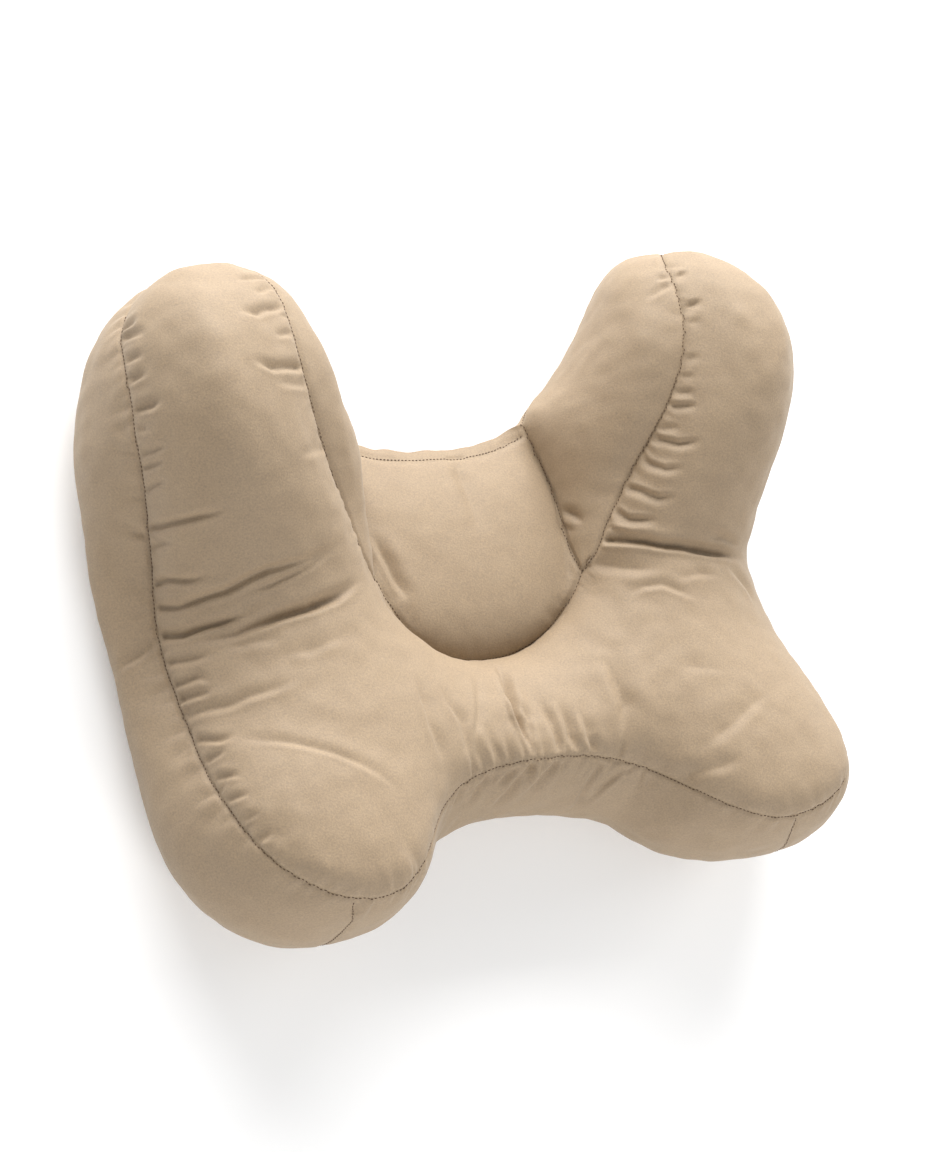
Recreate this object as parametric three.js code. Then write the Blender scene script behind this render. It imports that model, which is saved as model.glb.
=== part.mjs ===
// Side sleeper pillow, lying on its back: millimetres, +Z up out of the face, +Y towards the arms.
// One stuffed bag sewn from four cloth panels: a butterfly front panel with a U cut from its top, a cradle panel
// in the U, the boxing (side strip) all round and a plain back panel. The filling joins them into one solid.
import * as THREE from "three";

const seam_pitch = 10; // spacing of points along the seams
const panel_pitch = 10.5; // spacing of points over the front panel
const rim_insets = [5, 12]; // two rows of points that follow the seam inside the front panel
const rim_clearance = 7.5; // how far the panel's other points keep from those rows
const boxing_rows = 10;
const under_rows = 5;
const under_roll = 5; // how far the back panel rolls out past the back seam before it turns under
const seam_draw = 5; // how far the thread draws the front seam in below the swollen cloth
const back_seam_draw = 4;
const rest_inset = 26; // how far inside the back seam the pillow starts to touch the floor
const crown_reach = 42; // how far in from a seam the front panel takes to swell to its crown
const crown_roundness = 0.62; // 1 is a tent and 0 a flat top with square sides
const boxing_roundness = 0.75;

// Right half of the front seam from the arch to the U. x, y, z: where the front panel is sewn. back_x, back_y,
// back_z: the other edge of the boxing, which is the back seam, and from the notch corner on the cradle's side
// seam. bulge: how far the filling pushes the boxing out past the line between its two seams. belly: how far down
// the boxing it stands out most.
const seam_rows = [
  { place: "arch middle", x: 0, y: -102, z: 106, back_x: 0, back_y: -130, back_z: 14, bulge: 17, belly: 0.55 },
  { place: "arch side", x: 45, y: -105, z: 99, back_x: 48, back_y: -135, back_z: 14, bulge: 17, belly: 0.55 },
  { place: "arch end", x: 82, y: -119, z: 98, back_x: 82, back_y: -147, back_z: 14, bulge: 15, belly: 0.55 },
  { place: "lobe inner", x: 118, y: -150, z: 121, back_x: 116, back_y: -173, back_z: 14, bulge: 14, belly: 0.55 },
  { place: "lobe foot", x: 148, y: -167, z: 129, back_x: 148, back_y: -184, back_z: 14, bulge: 14, belly: 0.55 },
  { place: "lobe tip", x: 175, y: -171, z: 130, back_x: 180, back_y: -187, back_z: 14, bulge: 14, belly: 0.55 },
  { place: "lobe corner", x: 205, y: -163, z: 130, back_x: 215, back_y: -178, back_z: 14, bulge: 20, belly: 0.55 },
  { place: "lobe turn", x: 230, y: -144, z: 125, back_x: 241, back_y: -151, back_z: 14, bulge: 23, belly: 0.58 },
  { place: "lobe side", x: 240, y: -114, z: 110, back_x: 251, back_y: -114, back_z: 14, bulge: 22, belly: 0.6 },
  { place: "lobe top", x: 241, y: -77, z: 85, back_x: 254, back_y: -75, back_z: 13, bulge: 17, belly: 0.6 },
  { place: "below waist", x: 240, y: -37, z: 62, back_x: 259, back_y: -35, back_z: 12, bulge: 14, belly: 0.6 },
  { place: "waist", x: 241, y: 10, z: 46, back_x: 261, back_y: 12, back_z: 11, bulge: 10, belly: 0.6 },
  { place: "above waist", x: 242, y: 54, z: 53, back_x: 262, back_y: 56, back_z: 11, bulge: 11, belly: 0.6 },
  { place: "arm low", x: 250, y: 98, z: 80, back_x: 263, back_y: 98, back_z: 12, bulge: 15, belly: 0.6 },
  { place: "arm side", x: 258, y: 140, z: 101, back_x: 264, back_y: 138, back_z: 14, bulge: 15, belly: 0.6 },
  { place: "arm upper", x: 260, y: 180, z: 102, back_x: 257, back_y: 176, back_z: 14, bulge: 11, belly: 0.6 },
  { place: "arm shoulder", x: 251, y: 215, z: 82, back_x: 242, back_y: 211, back_z: 14, bulge: 8, belly: 0.5 },
  { place: "arm tip outer", x: 225, y: 240, z: 72, back_x: 219, back_y: 236, back_z: 14, bulge: 7, belly: 0.5 },
  { place: "arm tip", x: 193, y: 249, z: 76, back_x: 191, back_y: 246, back_z: 15, bulge: 8, belly: 0.5 },
  { place: "arm tip inner", x: 168, y: 246, z: 95, back_x: 165, back_y: 241, back_z: 16, bulge: 12, belly: 0.42 },
  { place: "arm inner top", x: 158, y: 225, z: 118, back_x: 146, back_y: 220, back_z: 16, bulge: 22, belly: 0.36 },
  { place: "arm inner", x: 153, y: 180, z: 131, back_x: 122, back_y: 191, back_z: 16, bulge: 28, belly: 0.35 },
  { place: "arm inner mid", x: 142, y: 140, z: 120, back_x: 99, back_y: 167, back_z: 17, bulge: 26, belly: 0.36 },
  { place: "notch corner", x: 130, y: 114, z: 106, back_x: 76, back_y: 145, back_z: 20, bulge: 20, belly: 0.38 },
  { place: "arm root high", x: 116, y: 88, z: 87, back_x: 82, back_y: 108, back_z: 31, bulge: 17, belly: 0.4 },
  { place: "arm root", x: 102, y: 60, z: 71, back_x: 85, back_y: 74, back_z: 42, bulge: 10, belly: 0.45 },
  { place: "arm root low", x: 92, y: 40, z: 62, back_x: 86, back_y: 46, back_z: 51, bulge: 4, belly: 0.5 },
  { place: "cradle joint", x: 84, y: 26, z: 57, back_x: 84, back_y: 26, back_z: 57, bulge: 0, belly: 0.5 },
  { place: "U side", x: 68, y: 4, z: 53 },
  { place: "U low", x: 46, y: -15, z: 50 },
  { place: "U turn", x: 22, y: -25, z: 47 },
  { place: "U bottom", x: 0, y: -27, z: 46 },
];
const notch_corner_row = seam_rows.findIndex((row) => row.place === "notch corner");
const cradle_joint_row = seam_rows.findIndex((row) => row.place === "cradle joint");

// Top edge of the cradle, from its middle to the notch corner.
const cradle_edge_rows = [
  { place: "middle", x: 0, y: 125, z: 22 },
  { place: "side", x: 40, y: 128, z: 22 },
  { place: "turn", x: 63, y: 134, z: 22 },
  { place: "corner", x: 76, y: 145, z: 22 },
];
const cradle_crown = 24;
const cradle_roundness = 0.7;

// How high the front panel swells above its seams, by place.
const crown_rows = [
  { place: "arm tip", x: 205, y: 225, crown: 84 },
  { place: "arm", x: 205, y: 165, crown: 98 },
  { place: "arm foot", x: 185, y: 90, crown: 66 },
  { place: "waist", x: 185, y: 25, crown: 28 },
  { place: "lobe", x: 185, y: -95, crown: 46 },
  { place: "lobe inner", x: 110, y: -85, crown: 38 },
  { place: "bridge", x: 0, y: -65, crown: 32 },
];
const crown_spread = 55;

// The deep folds of the front panel, which differ from side to side: a line on the face, and the width and
// depth of the fold along it.
const fold_rows = [
  { place: "left waist", x1: -245, y1: 14, x2: -120, y2: 30, width: 11, depth: 7 },
  { place: "left waist upper", x1: -245, y1: 36, x2: -135, y2: 50, width: 10, depth: 4 },
  { place: "left lobe", x1: -235, y1: -52, x2: -120, y2: -88, width: 13, depth: 3 },
  { place: "right waist", x1: 100, y1: 40, x2: 235, y2: 22, width: 11, depth: 8 },
  { place: "middle", x1: -4, y1: -58, x2: 4, y2: -98, width: 9, depth: 4 },
];

const points = [];
const triangles = [];

function addPoint(p) {
  points.push(p.clone());
  return points.length - 1;
}

function addStrip(upper, lower) {
  for (let i = 0; i + 1 < upper.length; i++) {
    triangles.push([upper[i], lower[i], lower[i + 1]]);
    triangles.push([upper[i], lower[i + 1], upper[i + 1]]);
  }
}

const mirrored = (p) => new THREE.Vector3(-p.x, p.y, p.z);

// Front seam, a smooth closed curve through the rows and their mirror images.
const right_knots = seam_rows.map((row) => new THREE.Vector3(row.x, row.y, row.z));
const front_knots = [...right_knots, ...right_knots.slice(1, -1).reverse().map(mirrored)];
const front_curve = new THREE.CatmullRomCurve3(front_knots, true, "centripetal");
const frontAt = (row) => front_curve.getPoint(row / front_knots.length);

// The boxing's other edge and its bulge, as curves over the same row numbers.
const boxing_half = seam_rows.slice(0, cradle_joint_row + 1);
const back_half = boxing_half.map((row) => new THREE.Vector3(row.back_x, row.back_y, row.back_z));
const bulge_half = boxing_half.map((row) => new THREE.Vector3(row.bulge, row.belly, 0));
const back_curve = new THREE.CatmullRomCurve3(
  [...back_half.slice(1).reverse().map(mirrored), ...back_half], false, "centripetal");
const bulge_curve = new THREE.CatmullRomCurve3(
  [...bulge_half.slice(1).reverse(), ...bulge_half], false, "catmullrom", 0.5);
const boxingAt = (curve, row) => curve.getPoint(0.5 + row / cradle_joint_row / 2);

// Row numbers of the points along the right half, about one seam pitch apart.
const half_places = [0];
for (let row = 0; row + 1 < seam_rows.length; row++) {
  const length = frontAt(row).distanceTo(frontAt(row + 1));
  const steps = Math.max(1, Math.round(length / seam_pitch));
  for (let i = 1; i <= steps; i++) half_places.push(row + i / steps);
}

// The front seam loop, anticlockwise from the arch middle.
const right_front = half_places.map((place) => frontAt(place));
const front_loop = [...right_front, ...right_front.slice(1, -1).reverse().map(mirrored)];
const front_index = front_loop.map(addPoint);

// Front panel: an even triangle mesh inside the seam.
function insideSeam(x, y) {
  let inside = false;
  front_loop.forEach((a, i) => {
    const b = front_loop[(i + 1) % front_loop.length];
    if (a.y > y !== b.y > y && x < a.x + ((y - a.y) / (b.y - a.y)) * (b.x - a.x)) inside = !inside;
  });
  return inside;
}

const panel_flat = front_loop.map((p) => new THREE.Vector2(p.x, p.y));
const edge_count = panel_flat.length;
for (const inset of rim_insets)
  for (let i = 0; i < edge_count; i++) {
    const a = front_loop[(i + edge_count - 1) % edge_count];
    const b = front_loop[(i + 1) % edge_count];
    const inward = new THREE.Vector2(a.y - b.y, b.x - a.x).normalize();
    panel_flat.push(new THREE.Vector2(front_loop[i].x, front_loop[i].y).addScaledVector(inward, inset));
  }
const rim_flat = panel_flat.slice();
const row_height = (panel_pitch * Math.sqrt(3)) / 2;
const panel_reach = Math.max(...front_loop.map((p) => Math.max(Math.abs(p.x), Math.abs(p.y))));
const lattice_reach = Math.ceil(panel_reach / row_height);
for (let j = -lattice_reach; j <= lattice_reach; j++)
  for (let i = -lattice_reach; i <= lattice_reach; i++) {
    const p = new THREE.Vector2((i + (Math.abs(j) % 2) / 2) * panel_pitch, j * row_height);
    const clear = rim_flat.every((q) => q.distanceTo(p) > rim_clearance);
    if (clear && insideSeam(p.x, p.y)) panel_flat.push(p);
  }

// Delaunay triangles of flat points, by adding them one at a time.
function delaunay(flat) {
  const far = 1e4;
  const on_circle = 1e-7;
  const all = [...flat, new THREE.Vector2(-far, -far), new THREE.Vector2(far, -far), new THREE.Vector2(0, far)];
  const circle = (a, b, c) => {
    const [p, q, r] = [all[a], all[b], all[c]];
    const d = 2 * (p.x * (q.y - r.y) + q.x * (r.y - p.y) + r.x * (p.y - q.y));
    const [pp, qq, rr] = [p.lengthSq(), q.lengthSq(), r.lengthSq()];
    const x = (pp * (q.y - r.y) + qq * (r.y - p.y) + rr * (p.y - q.y)) / d;
    const y = (pp * (r.x - q.x) + qq * (p.x - r.x) + rr * (q.x - p.x)) / d;
    return { corners: [a, b, c], x, y, r2: (p.x - x) ** 2 + (p.y - y) ** 2 };
  };
  let made = [circle(flat.length, flat.length + 1, flat.length + 2)];
  flat.forEach((p, index) => {
    const holed = new Map();
    const kept = [];
    for (const t of made) {
      if ((p.x - t.x) ** 2 + (p.y - t.y) ** 2 >= t.r2 - on_circle) {
        kept.push(t);
        continue;
      }
      t.corners.forEach((a, i) => {
        const b = t.corners[(i + 1) % 3];
        if (!holed.delete(b + "," + a)) holed.set(a + "," + b, [a, b]);
      });
    }
    for (const [a, b] of holed.values()) kept.push(circle(a, b, index));
    made = kept;
  });
  return made.map((t) => t.corners).filter((corners) => corners.every((c) => c < flat.length));
}

// A tiny uneven shift keeps the even lattice from having four points on one circle.
const tiny = 1e-3;
const shifted = panel_flat.map((p, i) => new THREE.Vector2(p.x + tiny * Math.sin(i * i), p.y + tiny * Math.cos(i)));
const panel_triangles = delaunay(shifted).filter((corners) => {
  const [a, b, c] = corners.map((i) => panel_flat[i]);
  return insideSeam((a.x + b.x + c.x) / 3, (a.y + b.y + c.y) / 3);
});
const links = panel_flat.map(() => new Map()); // pull of each neighbour, from the angles of the triangles
const point_area = panel_flat.map(() => 0); // area that belongs to each point
for (const corners of panel_triangles)
  corners.forEach((c, i) => {
    const [a, b] = [corners[(i + 1) % 3], corners[(i + 2) % 3]];
    const to_a = new THREE.Vector2().subVectors(panel_flat[a], panel_flat[c]);
    const to_b = new THREE.Vector2().subVectors(panel_flat[b], panel_flat[c]);
    const pull = to_a.dot(to_b) / to_a.cross(to_b) / 2;
    links[a].set(b, (links[a].get(b) || 0) + pull);
    links[b].set(a, (links[b].get(a) || 0) + pull);
    point_area[c] += to_a.cross(to_b) / 6;
  });
const around = links.map((map) => [...map]);

// Values over the panel that are held at the seam and settle inside it, as a stretched film would. A source pushes
// them up, and reach is the distance over which they level off at it.
function settle(held, source, reach) {
  const rounds = 900;
  const pace = 1.6;
  const value = panel_flat.map((p, i) => (i < edge_count ? held[i] : 0));
  for (let round = 0; round < rounds; round++)
    for (let i = edge_count; i < value.length; i++) {
      const weight = point_area[i] / reach ** 2;
      let sum = weight * source;
      let total = weight;
      for (const [j, pull] of around[i]) {
        sum += pull * value[j];
        total += pull;
      }
      value[i] += pace * (sum / total - value[i]);
    }
  return value;
}

const base_height = settle(front_loop.map((p) => p.z), 0, Infinity);
const swell = settle(front_loop.map(() => 0), 1, crown_reach);

function crownAt(x, y) {
  let total = 0;
  let weights = 0;
  for (const row of crown_rows) {
    const weight = Math.exp(-((Math.abs(x) - row.x) ** 2 + (y - row.y) ** 2) / (2 * crown_spread ** 2));
    total += weight * row.crown;
    weights += weight;
  }
  return total / weights;
}

// Depth of the folds at a point: each is a soft trough that runs out towards its ends.
function foldAt(x, y) {
  const run_out = 0.6;
  let depth = 0;
  for (const row of fold_rows) {
    const along = new THREE.Vector2(row.x2 - row.x1, row.y2 - row.y1);
    const length = along.length();
    along.divideScalar(length);
    const s = (x - row.x1) * along.x + (y - row.y1) * along.y;
    const off = (x - row.x1) * along.y - (y - row.y1) * along.x;
    const part = THREE.MathUtils.clamp(s / length, 0, 1);
    const beyond = s - part * length;
    const trough = Math.exp(-(off ** 2 + beyond ** 2) / row.width ** 2);
    depth += row.depth * trough * (1 - run_out * Math.abs(2 * part - 1));
  }
  return depth;
}

// Each point of a list past the held ones, moved part of the way towards the mean of its neighbours.
function eased(list, held, rounds) {
  const part = 0.6;
  let now = list;
  for (let round = 0; round < rounds; round++) {
    now = now.map((p, i) => {
      if (i < held) return p;
      const mean = new THREE.Vector3();
      for (const [j] of around[i]) mean.addScaledVector(now[j], 1 / around[i].length);
      return p.clone().lerp(mean, part);
    });
  }
  return now;
}

// The crown stands square to the smooth surface that spans the seam.
const normal_easing_rounds = 14;
const cloth_easing_rounds = 2;
const base_points = panel_flat.map((p, i) => new THREE.Vector3(p.x, p.y, base_height[i]));
const base_normals = panel_flat.map(() => new THREE.Vector3());
for (const corners of panel_triangles) {
  const [a, b, c] = corners.map((i) => base_points[i]);
  const normal = new THREE.Vector3().subVectors(b, a).cross(new THREE.Vector3().subVectors(c, a)).normalize();
  corners.forEach((i) => base_normals[i].add(normal));
}
base_normals.forEach((normal) => normal.normalize());
const swollen = eased(base_normals, edge_count, normal_easing_rounds).map((normal, i) => {
  if (i < edge_count) return base_points[i];
  const height = crownAt(base_points[i].x, base_points[i].y) * Math.pow(swell[i], crown_roundness);
  return base_points[i].clone().addScaledVector(normal.normalize(), height);
});
const panel_index = eased(swollen, rim_flat.length, cloth_easing_rounds).map((p, i) => {
  if (i < edge_count) return front_index[i];
  return addPoint(p.addScaledVector(base_normals[i], -foldAt(base_points[i].x, base_points[i].y)));
});
for (const corners of panel_triangles) triangles.push(corners.map((i) => panel_index[i]));

// Boxing: a bulged strip from the front seam to its other edge, from the left cradle joint round to the right.
const boxing_places = half_places.filter((place) => place <= cradle_joint_row);
const signed_places = [...boxing_places.slice(1).reverse().map((place) => -place), ...boxing_places];
const sideways = (place, p) => (place < 0 ? mirrored(p) : p);
const boxing_front = signed_places.map((place) => sideways(place, frontAt(Math.abs(place))));
const boxing_back = signed_places.map((place) => sideways(place, boxingAt(back_curve, Math.abs(place))));
const front_of = (place) => {
  const i = half_places.indexOf(Math.abs(place));
  return front_index[place < 0 ? front_loop.length - i : i];
};
const last = signed_places.length - 1;
const boxing_grid = [];
for (let k = 0; k <= boxing_rows; k++) {
  const t = k / boxing_rows;
  boxing_grid.push(signed_places.map((place, i) => {
    if (k === 0 || i === 0 || i === last) return front_of(place);
    const along = new THREE.Vector3().subVectors(boxing_front[i + 1], boxing_front[i - 1]);
    const down = new THREE.Vector3().subVectors(boxing_back[i], boxing_front[i]);
    const out = new THREE.Vector3().crossVectors(down, along).normalize();
    const { x: bulge, y: belly } = boxingAt(bulge_curve, Math.abs(place));
    const lean = Math.log(0.5) / Math.log(belly);
    const round = Math.pow(Math.sin(Math.PI * Math.pow(t, lean)), boxing_roundness);
    return addPoint(boxing_front[i].clone().addScaledVector(down, t).addScaledVector(out, bulge * round));
  }));
}
for (let k = 0; k < boxing_rows; k++)
  for (let i = 0; i < last; i++) {
    const [a, b] = [boxing_grid[k][i], boxing_grid[k][i + 1]];
    const [d, c] = [boxing_grid[k + 1][i], boxing_grid[k + 1][i + 1]];
    if (a !== d) triangles.push([a, d, c]);
    if (b !== c) triangles.push([a, c, b]);
  }
const boxing_foot = boxing_grid[boxing_rows];

// Cradle: a patch between the U seam, its two side seams and its thin top edge, with its own crown.
const u_right = half_places.filter((place) => place >= cradle_joint_row);
const u_index = [...u_right.map((place) => front_of(-place)), ...u_right.slice(0, -1).reverse().map(front_of)];
const corner_at = signed_places.indexOf(notch_corner_row);
const right_side = boxing_foot.slice(corner_at).reverse();
const left_side = boxing_foot.slice(0, last - corner_at + 1);
const edge_half = cradle_edge_rows.map((row) => new THREE.Vector3(row.x, row.y, row.z));
const edge_curve = new THREE.CatmullRomCurve3(
  [...edge_half.slice(1).reverse().map(mirrored), ...edge_half], false, "centripetal");
const columns = u_index.length - 1;
const rows = right_side.length - 1;
const edge_index = u_index.map((_, i) => {
  if (i === 0) return left_side[rows];
  if (i === columns) return right_side[rows];
  return addPoint(edge_curve.getPointAt(i / columns));
});
const cradle_grid = [];
for (let j = 0; j <= rows; j++) {
  const v = j / rows;
  cradle_grid.push(u_index.map((_, i) => {
    if (j === 0) return u_index[i];
    if (j === rows) return edge_index[i];
    if (i === 0) return left_side[j];
    if (i === columns) return right_side[j];
    const u = i / columns;
    const p = new THREE.Vector3();
    p.addScaledVector(points[u_index[i]], 1 - v).addScaledVector(points[edge_index[i]], v);
    p.addScaledVector(points[left_side[j]], 1 - u).addScaledVector(points[right_side[j]], u);
    p.addScaledVector(points[u_index[0]], -(1 - u) * (1 - v)).addScaledVector(points[u_index[columns]], -u * (1 - v));
    p.addScaledVector(points[edge_index[0]], -(1 - u) * v).addScaledVector(points[edge_index[columns]], -u * v);
    p.z += cradle_crown * Math.pow(Math.sin(Math.PI * u) * Math.sin(Math.PI * v), cradle_roundness);
    return addPoint(p);
  }));
}
for (let j = 0; j < rows; j++) addStrip(cradle_grid[j + 1], cradle_grid[j]);

// Underside: rounds in from the back seam and the cradle's edge to the flat face the pillow lies on.
const foot_loop = [...boxing_foot.slice(last - corner_at, corner_at + 1), ...edge_index.slice(1, -1).reverse()];
const foot_out = foot_loop.map((_, i) => {
  const a = points[foot_loop[(i + foot_loop.length - 2) % foot_loop.length]];
  const b = points[foot_loop[(i + 2) % foot_loop.length]];
  return new THREE.Vector3(b.y - a.y, a.x - b.x, 0).normalize();
});
const under_grid = [foot_loop];
for (let k = 1; k <= under_rows; k++) {
  const angle = ((k / under_rows) * Math.PI) / 2;
  under_grid.push(foot_loop.map((index, i) => {
    const inward = rest_inset * (1 - Math.cos(angle)) - under_roll * Math.sin(2 * angle);
    const p = points[index].clone().addScaledVector(foot_out[i], -inward);
    p.z *= k === under_rows ? 0 : 1 - Math.sin(angle);
    return addPoint(p);
  }));
}
for (let k = 0; k < under_rows; k++)
  addStrip([...under_grid[k], under_grid[k][0]], [...under_grid[k + 1], under_grid[k + 1][0]]);
const rest_loop = under_grid[under_rows];
const rest_flat = rest_loop.map((index) => new THREE.Vector2(points[index].x, points[index].y));
for (const [a, b, c] of THREE.ShapeUtils.triangulateShape(rest_flat, []))
  triangles.push([rest_loop[a], rest_loop[c], rest_loop[b]]);

// The thread draws each seam in, so it is a crisp valley between two swollen panels.
const normals = points.map(() => new THREE.Vector3());
for (const corners of triangles) {
  const [a, b, c] = corners.map((i) => points[i]);
  const normal = new THREE.Vector3().subVectors(b, a).cross(new THREE.Vector3().subVectors(c, a)).normalize();
  corners.forEach((i) => normals[i].add(normal));
}
function drawIn(seam, depth) {
  for (const i of seam) points[i].addScaledVector(normals[i].normalize(), -depth);
}
drawIn(front_index, seam_draw);
drawIn(boxing_foot.slice(1, -1), back_seam_draw);

// One solid, moved so that the middle of its box stands on the origin.
const geometry = new THREE.BufferGeometry();
geometry.setAttribute("position", new THREE.Float32BufferAttribute(points.flatMap((p) => p.toArray()), 3));
geometry.setIndex(triangles.flat());
geometry.computeBoundingBox();
const middle = geometry.boundingBox.getCenter(new THREE.Vector3());
geometry.translate(-middle.x, -middle.y, 0);
geometry.computeVertexNormals();

const cloth = new THREE.MeshStandardMaterial({ color: 0xc4ab88, roughness: 0.95 });
const pillow = new THREE.Mesh(geometry, cloth);
pillow.name = "pillow";
const group = new THREE.Group();
group.add(pillow);
export default group;
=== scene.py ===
# Side sleeper pillow: a butterfly-shaped stuffed cloth pillow that lies on its back, face up.
# Metres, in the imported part's frame: +Z out of the face, +Y towards the arms, +X across the pillow.
import math
import random

import bmesh
import bpy
import numpy as np
from mathutils import Matrix, Vector, noise
from mathutils.bvhtree import BVHTree
from mathutils.kdtree import KDTree


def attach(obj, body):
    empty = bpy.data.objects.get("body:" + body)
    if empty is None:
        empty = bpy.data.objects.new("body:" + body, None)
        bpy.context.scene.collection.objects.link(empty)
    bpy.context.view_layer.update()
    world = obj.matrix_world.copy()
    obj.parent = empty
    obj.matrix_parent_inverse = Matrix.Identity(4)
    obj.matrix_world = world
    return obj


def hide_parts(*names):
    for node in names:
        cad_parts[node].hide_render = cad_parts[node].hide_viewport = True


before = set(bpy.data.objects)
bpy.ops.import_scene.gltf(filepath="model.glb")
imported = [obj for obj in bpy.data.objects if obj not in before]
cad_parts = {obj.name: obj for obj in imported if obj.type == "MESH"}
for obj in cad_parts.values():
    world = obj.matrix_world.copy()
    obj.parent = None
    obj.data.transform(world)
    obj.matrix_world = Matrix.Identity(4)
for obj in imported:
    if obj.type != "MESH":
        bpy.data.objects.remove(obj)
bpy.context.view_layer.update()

# The view
# A long lens about a metre and a half from the face, off to the pillow's left and a little below, tipped
# clockwise. The pillow lies down, so this view is from above.
MM = 0.001
view_turn = math.radians(30.1)
view_rise = math.radians(-6.0)
view_tip = math.radians(-9.9)
view_target = Vector((0, -31, 90)) * MM
target_from_camera = Vector((33, -25.5, -1530.8)) * MM  # right, up and back, as the camera sees it
lens_length = 70  # this and the sensor's width are in millimetres, as Blender's camera takes them
sensor_width = 36


def add_object(name, data):
    """Puts an object with this data in the scene."""
    made = bpy.data.objects.new(name, data)
    bpy.context.scene.collection.objects.link(made)
    return made


camera_data = bpy.data.cameras.new("camera")
camera_data.lens = lens_length
camera_data.sensor_width = sensor_width
camera = add_object("camera", camera_data)
bpy.context.scene.camera = camera
camera_turn = Matrix.Rotation(-view_turn, 3, "Y") @ Matrix.Rotation(-view_rise, 3, "X")
camera_turn = camera_turn @ Matrix.Rotation(view_tip, 3, "Z")
camera_place = view_target - camera_turn @ target_from_camera
camera.matrix_world = Matrix.LocRotScale(camera_place, camera_turn, None)

# Cover
# A bag of brushed beige cloth: a butterfly front panel with a U cut from its top, a sloping cradle panel in
# the U, a boxing strip round the sides and a plain back. It is sewn inside out, turned and stuffed with fibre
# until it is tight, so the seams sit in shallow valleys and the eased cloth puckers beside them.
FRONT, BOXING, CRADLE, BACK = range(4)
merge_distance = 0.01 * MM
valley_angle = math.radians(-14)  # a seam is a valley deeper than this
sharp_angle = math.radians(30)  # and the cradle's thin top edge is sharper than this
smallest_panel = 0.002  # square metres, as is the next
largest_cradle = 0.06
boxing_facing = 0.5  # the boxing faces up less than this
back_height = 25 * MM  # and the back lies lower than this
seam_lift = 4.5 * MM  # the seams of the dressed pillow lie this much shallower than in the solid
tip_lift = 4 * MM  # and a little more on the tips of the arms
tip_start = 160 * MM
tip_length = 50 * MM
inner_lift = 3 * MM  # along the cradle and the insides of the arms
inner_half = 172 * MM
inner_start = 5 * MM
joint_lift = 4.5 * MM  # where the boxing runs out between its two seams, it is as high as they are
joint_half = 84 * MM
joint_place = 16 * MM
joint_reach = 28 * MM
joint_least = 0.02  # a smaller share of the joint than this isn't felt
joint_smoothing = 16  # how often the cloth there is evened out, so the panels run into each other
joint_step = 0.5  # how far a point then goes to the middle of its neighbours
cradle_lift = 3 * MM  # a lift on the lower part of the cradle's side seams
cradle_start = 70 * MM
cradle_length = 30 * MM
seam_smoothing = 4
back_lift = 4.5 * MM  # the sides come down round to the back seam
roll_tuck = 7 * MM  # and the edge of the back rolls under them
arch_tuck = 8 * MM  # at the arch and the waist the back is drawn in, under the sides
waist_tuck = 12 * MM
tuck_height = 22 * MM
waist_reach = 85 * MM
waist_half = 150 * MM
arch_reach = 160 * MM
arch_start = -100 * MM
# The filling is packed unevenly, so the bag leans by up to 15 mm here and there. All in millimetres.
# A lean with a height, z, is felt only near that height.
leans = [
    dict(place="left lobe", x=-170, y=-225, reach=80, across=15, along=0),
    dict(place="outside of the left lobe", x=-245, y=-190, reach=55, across=10, along=0),
    dict(place="foot of the left lobe", x=-150, y=-215, reach=75, across=0, along=-3),
    dict(place="left end of the arch", x=-50, y=-165, reach=40, across=0, along=3),
    dict(place="right end of the arch", x=55, y=-165, reach=40, across=0, along=-3),
    dict(place="left waist", x=-262, y=10, z=24, reach=55, across=-11, along=0),
    dict(place="left arm", x=-190, y=225, reach=80, across=7, along=0),
    dict(place="right arm", x=210, y=150, reach=90, across=9, along=0),
    dict(place="tip of the right arm", x=255, y=225, reach=50, across=-10, along=-8),
    dict(place="right waist", x=245, y=-14, reach=85, across=-12, along=0),
    dict(place="right lobe", x=235, y=-185, reach=75, across=6, along=-2),
    dict(place="top edge of the cradle", x=-20, y=105, reach=60, across=0, along=5),
    dict(place="right end of that edge", x=62, y=112, reach=28, across=0, along=5),
    dict(place="lower end of the right boxing", x=86, y=4, reach=22, across=-3, along=-11),
    dict(place="front seam above it", x=99, y=16, reach=16, across=-4, along=4),
]
lean_flatness = 3  # the reach of such a lean, up and down, is this many times shorter

shell = bmesh.new()
shell.from_mesh(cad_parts["pillow"].data)
bmesh.ops.remove_doubles(shell, verts=shell.verts, dist=merge_distance)
panel_layer = shell.faces.layers.int.new("panel")
crease_layer = shell.edges.layers.float.new("crease_edge")
shell.normal_update()


def is_border(edge):
    """Whether two panels may meet at an edge."""
    angle = edge.calc_face_angle_signed()
    return angle < valley_angle or angle > sharp_angle


# Faces that join across plain edges are one patch, and each patch is part of one panel.
patches = []
waiting = set(shell.faces)
while waiting:
    first = min(waiting, key=lambda face: face.index)
    waiting.discard(first)
    patch = [first]
    for face in patch:
        for edge in face.edges:
            if is_border(edge):
                continue
            for other in edge.link_faces:
                if other in waiting:
                    waiting.discard(other)
                    patch.append(other)
    patches.append(patch)

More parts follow.
